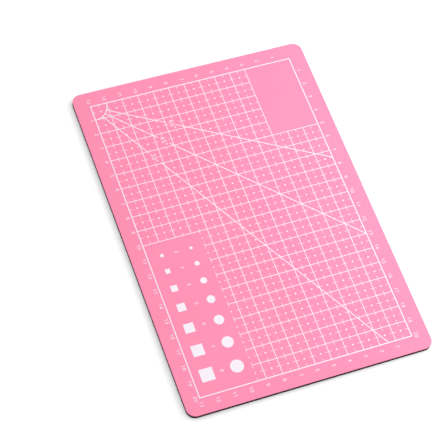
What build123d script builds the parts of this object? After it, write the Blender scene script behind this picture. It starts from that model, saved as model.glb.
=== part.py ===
from build123d import *

import os
from math import atan2, cos, degrees, radians, sin

# Self healing cutting mat, A5: a soft face ply, a hard core and a soft backing, with a white print.
#
# Millimetres. +X runs along the long side, +Y along the short side, +Z up. The origin is on the
# underside at the middle of the mat. The print is laid out in sheet coordinates: u along the long
# side and v along the short side, from the lower left corner of the printed frame.

os.makedirs("parts", exist_ok=True)

# ---- sheet -------------------------------------------------------------------------------------
MAT_LENGTH = 220.0
MAT_WIDTH = 150.0
CORNER_RADIUS = 5.5
BOTTOM_SKIN = 0.3  # soft backing ply
CORE = 2.4  # hard ply that keeps the mat flat
TOP_SKIN = 0.3  # soft ply that takes the cuts
THICKNESS = BOTTOM_SKIN + CORE + TOP_SKIN
EDGE_ROUND = 0.2  # rolled edge that die cutting leaves on the soft plies

# ---- print -------------------------------------------------------------------------------------
INK = 0.05  # height the ink stands above the face ply
PRINT_OFFSET = (0.15, -0.35)  # the print stands a little off the middle of the sheet
GRID_LENGTH = 200.0
GRID_WIDTH = 130.0
CELL = 10.0
FRAME_LINE = 0.6
GRID_LINE = 0.4
TICK_LINE = 0.25
TICK_REACH = 2.0  # from the middle of a line to the end of its tick
DOT_DIAMETER = 1.05
ANGLE_LINE = 0.5
ARC_RADIUS = CELL
SMALLEST_DEPOSIT = 0.03  # mm2; a sliver left beside an angle line would not print

PANEL_LENGTH = 50.0  # unprinted panel in the upper left corner
PANEL_BOTTOM = 100.0
GAUGE_LEFT = 100.0  # size gauges in the lower right corner
GAUGE_TOP = 35.0 - TICK_LINE / 2
GAUGE_SIZES = (2, 3, 4, 5, 6, 7, 8)
SQUARE_ROW = 8.7
NUMERAL_ROW = 17.7
DISC_ROW = 26.7

# angle, where its line breaks for the label, middle of its numerals, half tick the label leaves out
ANGLES = (
    (30, 47.5, 56.9, (44.3, 25.7), (41.1, 25.0)),
    (45, 45.8, 53.5, (34.5, 35.0), (38.9, 35.0)),
    (60, 46.9, 53.0, (24.8, 43.8), (28.9, 45.0)),
)

DIGIT = 2.2  # height of the numerals round the edge
ANGLE_DIGIT = 2.9
GAUGE_DIGIT = 2.2
PEN = 0.12  # stroke width, and the next two, as shares of the height
DIGIT_WIDTH = 0.62
DIGIT_STEP = 0.86  # from one numeral to the next
DEGREE_RING = (1.16, 0.40, 0.115)  # place from the middle of the numerals, and radius

LONG_ROW_LOW = -2.4  # middle height of the numerals below and above the frame
LONG_ROW_HIGH = GRID_WIDTH + 2.75
SHORT_ROW_LEFT = -3.7
SHORT_ROW_RIGHT = GRID_LENGTH + 3.8
SHORT_ROW_DROP = 0.28  # their numerals stand this far below the grid line they name

SHEET = Plane(
    origin=(PRINT_OFFSET[0] - GRID_LENGTH / 2, PRINT_OFFSET[1] - GRID_WIDTH / 2, THICKNESS)
)


# ---- numerals ----------------------------------------------------------------------------------
def pen_line(start, end, pen):
    """A straight pen stroke with round ends."""
    run, rise = end[0] - start[0], end[1] - start[1]
    length = (run**2 + rise**2) ** 0.5
    middle = ((start[0] + end[0]) / 2, (start[1] + end[1]) / 2)
    with Locations(middle):
        SlotCenterToCenter(length, pen, rotation=degrees(atan2(rise, run)))


def pen_arc(centre, radius, start, sweep, pen):
    """A curved pen stroke with round ends; angles in degrees."""

    def on(r, angle):
        return (centre[0] + r * cos(radians(angle)), centre[1] + r * sin(radians(angle)))

    outer, inner, end = radius + pen / 2, radius - pen / 2, start + sweep
    with BuildLine() as outline:
        CenterArc(centre, outer, start, sweep)
        CenterArc(centre, inner, start, sweep)
        Line(on(outer, start), on(inner, start))
        Line(on(outer, end), on(inner, end))
    make_face(outline.edges())
    with Locations(on(radius, start), on(radius, end)):
        Circle(pen / 2)


def pen_ring(centre, radius, pen):
    """A closed round stroke."""
    with Locations(centre):
        Circle(radius + pen / 2)
        Circle(radius - pen / 2, mode=Mode.SUBTRACT)


def draw_digit(character, h):
    """Draw one numeral of height h, its lower left corner at the origin."""
    pen = PEN * h

    def at(x, y):
        return (x * h, y * h)

    if character == "0":
        with Locations(at(0.31, 0.5)):
            SlotOverall(h, DIGIT_WIDTH * h, rotation=90)
            SlotOverall(h - 2 * pen, DIGIT_WIDTH * h - 2 * pen, rotation=90, mode=Mode.SUBTRACT)
    elif character == "1":
        pen_line(at(0.37, 0.06), at(0.37, 0.94), pen)
        pen_line(at(0.37, 0.94), at(0.14, 0.73), pen)
    elif character == "2":
        pen_arc(at(0.31, 0.70), 0.24 * h, 165, -200, pen)
        pen_line(at(0.507, 0.562), at(0.07, 0.06), pen)
        pen_line(at(0.07, 0.06), at(0.56, 0.06), pen)
    elif character == "3":
        pen_arc(at(0.30, 0.735), 0.205 * h, 150, -235, pen)
        pen_arc(at(0.30, 0.31), 0.25 * h, 85, -235, pen)
    elif character == "4":
        pen_line(at(0.42, 0.06), at(0.42, 0.94), pen)
        pen_line(at(0.07, 0.29), at(0.58, 0.29), pen)
        pen_line(at(0.07, 0.29), at(0.42, 0.94), pen)
    elif character == "5":
        pen_line(at(0.15, 0.94), at(0.52, 0.94), pen)
        pen_line(at(0.15, 0.94), at(0.11, 0.48), pen)
        pen_arc(at(0.30, 0.31), 0.25 * h, 138, -288, pen)
    elif character == "6":
        pen_ring(at(0.31, 0.305), 0.245 * h, pen)
        pen_line(at(0.065, 0.305), at(0.065, 0.695), pen)
        pen_arc(at(0.31, 0.695), 0.245 * h, 180, -138, pen)
    elif character == "7":
        pen_line(at(0.07, 0.94), at(0.55, 0.94), pen)
        pen_line(at(0.55, 0.94), at(0.23, 0.06), pen)
    elif character == "8":
        upper, lower = at(0.31, 0.738), at(0.31, 0.308)
        with Locations(upper):
            Circle(0.202 * h + pen / 2)
        with Locations(lower):
            Circle(0.248 * h + pen / 2)
            Circle(0.248 * h - pen / 2, mode=Mode.SUBTRACT)
        with Locations(upper):
            Circle(0.202 * h - pen / 2, mode=Mode.SUBTRACT)


def make_digits(h):
    """One sketch per numeral, with the middle of its cell at the origin."""
    made = {}
    for character in "012345678":
        with BuildSketch() as drawn:
            draw_digit(character, h)
        made[character] = drawn.sketch.moved(Location((-DIGIT_WIDTH * h / 2, -h / 2)))
    made["9"] = made["6"].rotate(Axis.Z, 180)
    return made


def place_numbers(digits, h, numbers):
    """Draw numbers, each given as its text and its middle."""
    where = {}
    for text, (u, v) in numbers:
        first = u - DIGIT_STEP * h * (len(text) - 1) / 2
        for i, character in enumerate(text):
            where.setdefault(character, []).append((first + i * DIGIT_STEP * h, v))
    for character in sorted(where):
        with Locations(*where[character]):
            add(digits[character])


# ---- where the marks stand ---------------------------------------------------------------------
def steps(start, count):
    return [start + CELL * i for i in range(count)]


LINES_U = steps(CELL, 19)
LINES_V = steps(CELL, 12)
HALVES_U = steps(CELL / 2, 20)
HALVES_V = steps(CELL / 2, 13)


def in_panel(u, v):
    return u < PANEL_LENGTH and v > PANEL_BOTTOM


def in_gauges(u, v):
    return u > GAUGE_LEFT and v < GAUGE_TOP


def on_ray(angle, distance):
    return (distance * cos(radians(angle)), distance * sin(radians(angle)))


def ray_end(angle):
    """Distance from the corner at which an angle line reaches the frame."""
    reach = [GRID_LENGTH / cos(radians(angle)), GRID_WIDTH / sin(radians(angle))]
    return min(reach)


def bar(u0, v0, u1, v1):
    with Locations(((u0 + u1) / 2, (v0 + v1) / 2)):
        Rectangle(u1 - u0, v1 - v0)


def inside_frame():
    """Keep only what lies within the inner edge of the frame line."""
    with Locations((GRID_LENGTH / 2, GRID_WIDTH / 2)):
        Rectangle(GRID_LENGTH - FRAME_LINE, GRID_WIDTH - FRAME_LINE, mode=Mode.INTERSECT)


def ray(angle, start, end):
    with Locations(on_ray(angle, (start + end) / 2)):
        Rectangle(end - start, ANGLE_LINE, rotation=angle)


# ---- plies -------------------------------------------------------------------------------------
with BuildPart() as bottom_skin:
    with BuildSketch(Plane.XY):
        RectangleRounded(MAT_LENGTH, MAT_WIDTH, CORNER_RADIUS)
    extrude(amount=BOTTOM_SKIN)
    fillet(bottom_skin.faces().sort_by(Axis.Z)[0].edges(), EDGE_ROUND)

with BuildPart() as core_sheet:
    with BuildSketch(Plane.XY.offset(BOTTOM_SKIN)):
        RectangleRounded(MAT_LENGTH, MAT_WIDTH, CORNER_RADIUS)
    extrude(amount=CORE)

with BuildPart() as top_skin:
    with BuildSketch(Plane.XY.offset(BOTTOM_SKIN + CORE)):
        RectangleRounded(MAT_LENGTH, MAT_WIDTH, CORNER_RADIUS)
    extrude(amount=TOP_SKIN)
    fillet(top_skin.faces().sort_by(Axis.Z)[-1].edges(), EDGE_ROUND)

# ---- protractor --------------------------------------------------------------------------------
with BuildSketch() as arc_shape:
    Circle(ARC_RADIUS + ANGLE_LINE / 2)
    Circle(ARC_RADIUS - ANGLE_LINE / 2, mode=Mode.SUBTRACT)
    inside_frame()

with BuildSketch() as ray_shape:
    for angle, gap_start, gap_end, _, _ in ANGLES:
        ray(angle, ARC_RADIUS, gap_start)
        ray(angle, gap_end, ray_end(angle) + CELL)
    inside_frame()
    add(arc_shape.sketch, mode=Mode.SUBTRACT)

with BuildPart() as protractor_arc_print:
    with BuildSketch(SHEET):
        add(arc_shape.sketch)
    extrude(amount=INK)

with BuildPart() as angle_line_print:
    with BuildSketch(SHEET):
        add(ray_shape.sketch)
    extrude(amount=INK)

# ---- frame and grid ----------------------------------------------------------------------------
with BuildPart() as frame_line_print:
    with BuildSketch(SHEET):
        with Locations((GRID_LENGTH / 2, GRID_WIDTH / 2)):
            Rectangle(GRID_LENGTH + FRAME_LINE, GRID_WIDTH + FRAME_LINE)
            Rectangle(GRID_LENGTH - FRAME_LINE, GRID_WIDTH - FRAME_LINE, mode=Mode.SUBTRACT)
    extrude(amount=INK)

with BuildPart() as grid_line_print:
    with BuildSketch(SHEET):
        for u in LINES_U:
            low = GAUGE_TOP if u > GAUGE_LEFT else 0
            high = PANEL_BOTTOM if u < PANEL_LENGTH else GRID_WIDTH
            bar(u - GRID_LINE / 2, low, u + GRID_LINE / 2, high)
        for v in LINES_V:
            left = PANEL_LENGTH if v > PANEL_BOTTOM else 0
            right = GAUGE_LEFT if v < GAUGE_TOP else GRID_LENGTH
            bar(left, v - GRID_LINE / 2, right, v + GRID_LINE / 2)
        inside_frame()
        add(arc_shape.sketch, mode=Mode.SUBTRACT)
        add(ray_shape.sketch, mode=Mode.SUBTRACT)
    extrude(amount=INK)

# ---- half centimetre ticks ---------------------------------------------------------------------
side_middle = (TICK_REACH + GRID_LINE / 2) / 2
left_out = [tick for _, _, _, _, tick in ANGLES]
across_u = []  # middles of the bars that run along u, one each side of an upright line
across_v = []
for u in LINES_U:
    for v in HALVES_V:
        for side in (-1, 1):
            middle = (round(u + side * side_middle, 2), v)
            if not in_panel(*middle) and not in_gauges(*middle) and middle not in left_out:
                across_u.append(middle)
for v in LINES_V:
    for u in HALVES_U:
        for side in (-1, 1):
            middle = (u, v + side * side_middle)
            if not in_panel(*middle) and not in_gauges(*middle):
                across_v.append(middle)

frame_middle = (TICK_REACH + FRAME_LINE / 2) / 2
frame_u = [(frame_middle, v) for v in HALVES_V]
frame_u += [(GRID_LENGTH - frame_middle, v) for v in HALVES_V]
frame_v = [(u, frame_middle) for u in HALVES_U]
frame_v += [(u, GRID_WIDTH - frame_middle) for u in HALVES_U]
frame_u = [p for p in frame_u if not in_panel(*p) and not in_gauges(*p)]
frame_v = [p for p in frame_v if not in_panel(*p) and not in_gauges(*p)]

with BuildSketch() as tick_shape:
    with Locations(*across_u):
        Rectangle(TICK_REACH - GRID_LINE / 2, TICK_LINE)
    with Locations(*across_v):
        Rectangle(TICK_LINE, TICK_REACH - GRID_LINE / 2)
    with Locations(*frame_u):
        Rectangle(TICK_REACH - FRAME_LINE / 2, TICK_LINE)
    with Locations(*frame_v):
        Rectangle(TICK_LINE, TICK_REACH - FRAME_LINE / 2)
    add(arc_shape.sketch, mode=Mode.SUBTRACT)
    add(ray_shape.sketch, mode=Mode.SUBTRACT)

with BuildPart() as half_centimetre_ticks:
    with BuildSketch(SHEET):
        add([f for f in tick_shape.faces() if f.area > SMALLEST_DEPOSIT])
    extrude(amount=INK)

# ---- dots in the middle of the cells -----------------------------------------------------------
labelled = [tuple(CELL * (0.5 + c // CELL) for c in middle) for _, _, _, middle, _ in ANGLES]
dots = [
    (u, v)
    for u in HALVES_U
    for v in HALVES_V
    if not in_panel(u, v) and not in_gauges(u, v) and (u, v) not in labelled
]
with BuildSketch() as dot_shape:
    with Locations(*dots):
        Circle(DOT_DIAMETER / 2)
    with Locations((GAUGE_LEFT, 0)):
        Rectangle(GRID_LENGTH, GAUGE_TOP, align=Align.MIN, mode=Mode.SUBTRACT)
    add(ray_shape.sketch, mode=Mode.SUBTRACT)

with BuildPart() as centre_dot_print:
    with BuildSketch(SHEET):
        add([f for f in dot_shape.faces() if f.area > SMALLEST_DEPOSIT])
    extrude(amount=INK)

# ---- numerals ----------------------------------------------------------------------------------
edge_digits = make_digits(DIGIT)
angle_digits = make_digits(ANGLE_DIGIT)
gauge_digits = make_digits(GAUGE_DIGIT)

with BuildPart() as long_side_numerals:
    with BuildSketch(SHEET):
        place_numbers(
            edge_digits,
            DIGIT,
            [
                (str(n), (CELL * n, v))
                for n in range(1, 21)
                for v in (LONG_ROW_LOW, LONG_ROW_HIGH)
            ],
        )
    extrude(amount=INK)

with BuildPart() as short_side_numerals:
    with BuildSketch(SHEET):
        place_numbers(
            edge_digits,
            DIGIT,
            [
                (str(n), (u, GRID_WIDTH - CELL * n - SHORT_ROW_DROP))
                for n in range(1, 14)
                for u in (SHORT_ROW_LEFT, SHORT_ROW_RIGHT)
            ],
        )
    extrude(amount=INK)

with BuildPart() as angle_numerals:
    with BuildSketch(SHEET):
        for angle, _, _, (u, v), _ in ANGLES:
            place_numbers(angle_digits, ANGLE_DIGIT, [(str(angle), (u, v))])
            right, up, radius = (share * ANGLE_DIGIT for share in DEGREE_RING)
            pen_ring((u + right, v + up), radius, PEN * ANGLE_DIGIT)
    extrude(amount=INK)

# ---- size gauges -------------------------------------------------------------------------------
gap = (GRID_LENGTH - GAUGE_LEFT - sum(GAUGE_SIZES)) / (len(GAUGE_SIZES) + 1)
gauge_middles = []
edge = GAUGE_LEFT
for size in GAUGE_SIZES:
    gauge_middles.append(edge + gap + size / 2)
    edge += gap + size

with BuildPart() as square_gauge_print:
    with BuildSketch(SHEET):
        for size, u in zip(GAUGE_SIZES, gauge_middles):
            with Locations((u, SQUARE_ROW)):
                Rectangle(size, size)
    extrude(amount=INK)

with BuildPart() as disc_gauge_print:
    with BuildSketch(SHEET):
        for size, u in zip(GAUGE_SIZES, gauge_middles):
            with Locations((u, DISC_ROW)):
                Circle(size / 2)
    extrude(amount=INK)

with BuildPart() as gauge_numerals:
    with BuildSketch(SHEET):
        place_numbers(
            gauge_digits,
            GAUGE_DIGIT,
            [(str(size), (u, NUMERAL_ROW)) for size, u in zip(GAUGE_SIZES, gauge_middles)],
        )
    extrude(amount=INK)

# ---- files -------------------------------------------------------------------------------------
for name, built in (
    ("top_skin", top_skin),
    ("core_sheet", core_sheet),
    ("bottom_skin", bottom_skin),
    ("frame_line_print", frame_line_print),
    ("grid_line_print", grid_line_print),
    ("half_centimetre_ticks", half_centimetre_ticks),
    ("centre_dot_print", centre_dot_print),
    ("protractor_arc_print", protractor_arc_print),
    ("angle_line_print", angle_line_print),
    ("angle_numerals", angle_numerals),
    ("long_side_numerals", long_side_numerals),
    ("short_side_numerals", short_side_numerals),
    ("square_gauge_print", square_gauge_print),
    ("disc_gauge_print", disc_gauge_print),
    ("gauge_numerals", gauge_numerals),
):
    built.part.label = name
    export_step(built.part, f"parts/{name}.step")
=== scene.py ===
from math import cos, radians, sin

import bpy
from mathutils import Matrix, Vector


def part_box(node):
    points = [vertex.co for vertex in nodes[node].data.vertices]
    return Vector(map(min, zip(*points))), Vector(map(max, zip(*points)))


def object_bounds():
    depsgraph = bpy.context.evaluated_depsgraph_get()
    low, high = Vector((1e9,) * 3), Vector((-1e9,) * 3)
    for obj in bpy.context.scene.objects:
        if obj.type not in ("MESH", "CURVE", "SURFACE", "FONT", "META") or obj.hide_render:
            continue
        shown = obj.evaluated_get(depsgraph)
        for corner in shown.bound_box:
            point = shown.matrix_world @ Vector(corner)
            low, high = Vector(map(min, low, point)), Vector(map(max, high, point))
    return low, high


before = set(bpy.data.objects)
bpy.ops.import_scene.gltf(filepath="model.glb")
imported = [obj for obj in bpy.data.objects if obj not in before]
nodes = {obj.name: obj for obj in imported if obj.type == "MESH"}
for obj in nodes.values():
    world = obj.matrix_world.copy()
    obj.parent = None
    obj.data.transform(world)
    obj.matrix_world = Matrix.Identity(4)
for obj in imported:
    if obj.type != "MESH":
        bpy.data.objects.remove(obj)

# Self healing mat: materials, floor, light and camera round the CAD frame. Metres and degrees.

cad_box = [list(corner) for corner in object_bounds()]
underside_height = cad_box[0][2]
face_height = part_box("top_skin")[1].z

FLOOR_SIZE = 12.0
FLOOR_GAP = 0.0002  # from the underside down to the floor

KEY_PLACE = (0.0, 0.22, 0.16)
KEY_LENGTH, KEY_WIDTH = 0.5, 0.16
KEY_WATTS = 0.57
KEY_COLOUR = (1.0, 0.97, 1.0)
WORLD_STRENGTH = 1.08

AZIMUTH, ELEVATION, ROLL = -30.28, 60.47, 11.98
DISTANCE = 0.99993
AIM = Vector((-0.00015, -0.0147, face_height))
SENSOR_MM, LENS_MM = 36.0, 136.4
CLIP_NEAR, CLIP_FAR = 0.05, 20.0


# ---- small helpers for node materials ------------------------------------------------------------
class Shader:
    """One node material: a Principled surface and short calls for the nodes that feed it."""

    def __init__(self, name):
        self.material = bpy.data.materials.new(name)
        self.material.use_nodes = True
        self.tree = self.material.node_tree
        self.surface = self.tree.nodes["Principled BSDF"]
        self.place = self.add("ShaderNodeTexCoord").outputs["Object"]

    def add(self, kind, **settings):
        node = self.tree.nodes.new(kind)
        for key, value in settings.items():
            setattr(node, key, value)
        return node

    def link(self, source, node, name):
        self.tree.links.new(source, node.inputs[name])

    def fix(self, **values):
        """Set surface inputs that don't vary."""
        names = {"roughness": "Roughness", "specular": "Specular IOR Level", "ior": "IOR"}
        for key, value in values.items():
            self.surface.inputs[names[key]].default_value = value

    def stretched(self, scale):
        """Object coordinates scaled by axis; a larger number packs the pattern closer."""
        mapping = self.add("ShaderNodeMapping")
        self.link(self.place, mapping, "Vector")
        mapping.inputs["Scale"].default_value = scale
        return mapping.outputs["Vector"]

    def noise(self, scale, detail=2, roughness=0.5, distortion=0, vector=None):
        node = self.add("ShaderNodeTexNoise")
        self.link(vector or self.place, node, "Vector")
        node.inputs["Scale"].default_value = scale
        node.inputs["Detail"].default_value = detail
        node.inputs["Roughness"].default_value = roughness
        node.inputs["Distortion"].default_value = distortion
        return node.outputs["Fac"]

    def cells(self, scale):
        node = self.add("ShaderNodeTexVoronoi")
        self.link(self.place, node, "Vector")
        node.inputs["Scale"].default_value = scale
        return node.outputs["Distance"]

    def span(self, value, source, target):
        """Map the range source onto the range target, held at its ends."""
        node = self.add("ShaderNodeMapRange")
        self.link(value, node, "Value")
        node.inputs["From Min"].default_value, node.inputs["From Max"].default_value = source
        node.inputs["To Min"].default_value, node.inputs["To Max"].default_value = target
        return node.outputs["Result"]

    def mix(self, share, first, second):
        """Blend two colours, each an RGB tuple or the output of another node."""
        node = self.add("ShaderNodeMix", data_type="RGBA")
        self.link(share, node, "Factor")
        for key, colour in (("A", first), ("B", second)):
            target = [s for s in node.inputs if s.name == key and s.type == "RGBA"][0]
            if isinstance(colour, tuple):
                target.default_value = (*colour, 1)
            else:
                self.tree.links.new(colour, target)
        return [s for s in node.outputs if s.type == "RGBA"][0]

    def sum(self, first, second, share):
        """First plus a share of second."""
        node = self.add("ShaderNodeMath", operation="MULTIPLY_ADD")
        self.tree.links.new(second, node.inputs[0])
        node.inputs[1].default_value = share
        self.tree.links.new(first, node.inputs[2])
        return node.outputs[0]

    def colour(self, source):
        self.link(source, self.surface, "Base Color")

    def rough(self, source):
        self.link(source, self.surface, "Roughness")

    def bump(self, height, distance, strength):
        node = self.add("ShaderNodeBump")
        node.inputs["Strength"].default_value = strength
        node.inputs["Distance"].default_value = distance
        self.link(height, node, "Height")
        self.link(node.outputs["Normal"], self.surface, "Normal")


def paint(name, material):
    obj = nodes[name]
    obj.data.materials.clear()
    obj.data.materials.append(material)


# ---- soft pink face ply: matt PVC with a fine pebbled grain --------------------------------------
def face_ply():
    base, lighter, pale_speck = (0.765, 0.194, 0.332), (0.785, 0.211, 0.352), (0.81, 0.238, 0.386)
    s = Shader("pink_self_healing_pvc")
    cloud = s.noise(18, detail=3, roughness=0.55)
    fine = s.noise(900, roughness=0.6)
    colour = s.mix(s.span(cloud, (0.3, 0.7), (0, 1)), base, lighter)
    # The whitish specks mixed in over the fine noise are painted highlight glints on the grain, not
    # a pigment of the PVC.
    s.colour(s.mix(s.span(fine, (0.35, 0.75), (0, 0.35)), colour, pale_speck))
    grain = s.cells(1500)
    pores = s.noise(2600, roughness=0.7)
    waves = s.noise(120)
    height = s.sum(s.sum(grain, pores, share=0.6), waves, share=0.5)
    s.bump(height, distance=0.00004, strength=0.6)
    smear = s.noise(40, detail=3, roughness=0.6, distortion=0.3, vector=s.stretched((1, 3, 1)))
    s.rough(s.span(s.sum(fine, smear, share=0.8), (0.5, 1.3), (0.48, 0.64)))
    s.fix(specular=0.42, ior=1.52)
    return s.material


# ---- hard black core: sheared edge with fine upright drag marks ----------------------------------
def core_ply():
    base, lighter, pale_speck = (0.006, 0.003, 0.0035), (0.020, 0.010, 0.012), (0.036, 0.023, 0.027)
    s = Shader("black_core_pvc")
    drag = s.noise(420, detail=3, roughness=0.6, vector=s.stretched((1, 1, 0.12)))
    speck = s.noise(2400, roughness=0.6)
    colour = s.mix(s.span(drag, (0.3, 0.75), (0, 1)), base, lighter)
    s.colour(s.mix(s.span(speck, (0.62, 0.78), (0, 0.5)), colour, pale_speck))
    s.bump(s.sum(drag, speck, share=0.3), distance=0.00006, strength=0.6)
    s.rough(s.span(drag, (0.3, 0.7), (0.82, 0.96)))
    s.fix(specular=0.12)
    return s.material


# ---- soft backing ply: dark, with a coarser matt emboss ------------------------------------------
def backing_ply():
    base, lighter, scuffed = (0.016, 0.011, 0.013), (0.028, 0.020, 0.023), (0.052, 0.043, 0.047)
    s = Shader("dark_backing_pvc")
    cloud = s.noise(30, detail=3, roughness=0.6)
    grain = s.cells(1100)
    scuff = s.noise(60, detail=4, roughness=0.65, distortion=0.4, vector=s.stretched((1, 5, 1)))
    colour = s.mix(s.span(cloud, (0.3, 0.7), (0, 1)), base, lighter)
    s.colour(s.mix(s.span(scuff, (0.6, 0.8), (0, 0.4)), colour, scuffed))
    s.bump(grain, distance=0.00006, strength=0.7)
    s.rough(s.span(scuff, (0.4, 0.75), (0.90, 0.78)))
    s.fix(specular=0.2)
    return s.material


# ---- screen printed ink: near white, with a little of the face showing through -------------------
def white_ink():
    full, thinner, show_through = (0.74, 0.69, 0.745), (0.725, 0.655, 0.72), (0.74, 0.50, 0.59)
    s = Shader("white_screen_ink")
    mesh = s.cells(3600)
    thin = s.noise(260, detail=3, roughness=0.6)
    cover = s.noise(3000, roughness=0.7)
    colour = s.mix(s.span(thin, (0.35, 0.75), (0, 1)), full, thinner)
    s.colour(s.mix(s.span(cover, (0.66, 0.8), (0, 0.45)), colour, show_through))
    s.bump(s.sum(mesh, thin, share=0.8), distance=0.00001, strength=0.5)
    s.rough(s.span(thin, (0.3, 0.7), (0.42, 0.56)))
    s.fix(specular=0.45)
    return s.material


plies = {"top_skin": face_ply(), "core_sheet": core_ply(), "bottom_skin": backing_ply()}
ink = white_ink()
for name in sorted(nodes):
    paint(name, plies.get(name, ink))


# ---- pale floor ----------------------------------------------------------------------------------
def pale_floor():
    darker, paler = (0.965, 0.965, 0.965), (0.98, 0.98, 0.98)
    s = Shader("pale_floor")
    s.colour(s.mix(s.span(s.noise(3, detail=3), (0.3, 0.7), (0, 1)), darker, paler))
    s.bump(s.noise(400), distance=0.00005, strength=0.2)
    s.fix(roughness=0.85, specular=0.1)
    return s.material


bpy.ops.mesh.primitive_plane_add(size=FLOOR_SIZE, location=(0, 0, underside_height - FLOOR_GAP))
floor = bpy.context.object
floor.name = "floor"
floor.data.materials.append(pale_floor())

# ---- light: one soft lamp past the far long side, and an even white world ------------------------
key = bpy.data.lights.new("key_soft", "AREA")
key.shape = "RECTANGLE"
key.size, key.size_y = KEY_LENGTH, KEY_WIDTH
key.energy = KEY_WATTS
key.color = KEY_COLOUR
lamp = bpy.data.objects.new("key_soft", key)
bpy.context.scene.collection.objects.link(lamp)
lamp.location = KEY_PLACE
lamp.rotation_euler = (-Vector(KEY_PLACE)).to_track_quat("-Z", "Y").to_euler()
lamp.visible_camera = False

world = bpy.data.worlds.new("studio")
bpy.context.scene.world = world
world.use_nodes = True
background = world.node_tree.nodes["Background"]
background.inputs["Color"].default_value = (1, 1, 1, 1)
background.inputs["Strength"].default_value = WORLD_STRENGTH

bpy.context.scene.view_settings.view_transform = "Standard"

# ---- camera: long lens, from above the +X end and a little from the -Y side ----------------------
towards = Vector((cos(radians(ELEVATION)) * cos(radians(AZIMUTH)),
                  cos(radians(ELEVATION)) * sin(radians(AZIMUTH)),
                  sin(radians(ELEVATION))))
lens = bpy.data.cameras.new("camera")
lens.sensor_width = SENSOR_MM
lens.lens = LENS_MM
lens.clip_start, lens.clip_end = CLIP_NEAR, CLIP_FAR
camera = bpy.data.objects.new("camera", lens)
bpy.context.scene.collection.objects.link(camera)
turn = (-towards).to_track_quat("-Z", "Y").to_matrix() @ Matrix.Rotation(radians(ROLL), 3, "Z")
camera.matrix_world = Matrix.Translation(AIM + DISTANCE * towards) @ turn.to_4x4()
bpy.context.scene.camera = camera
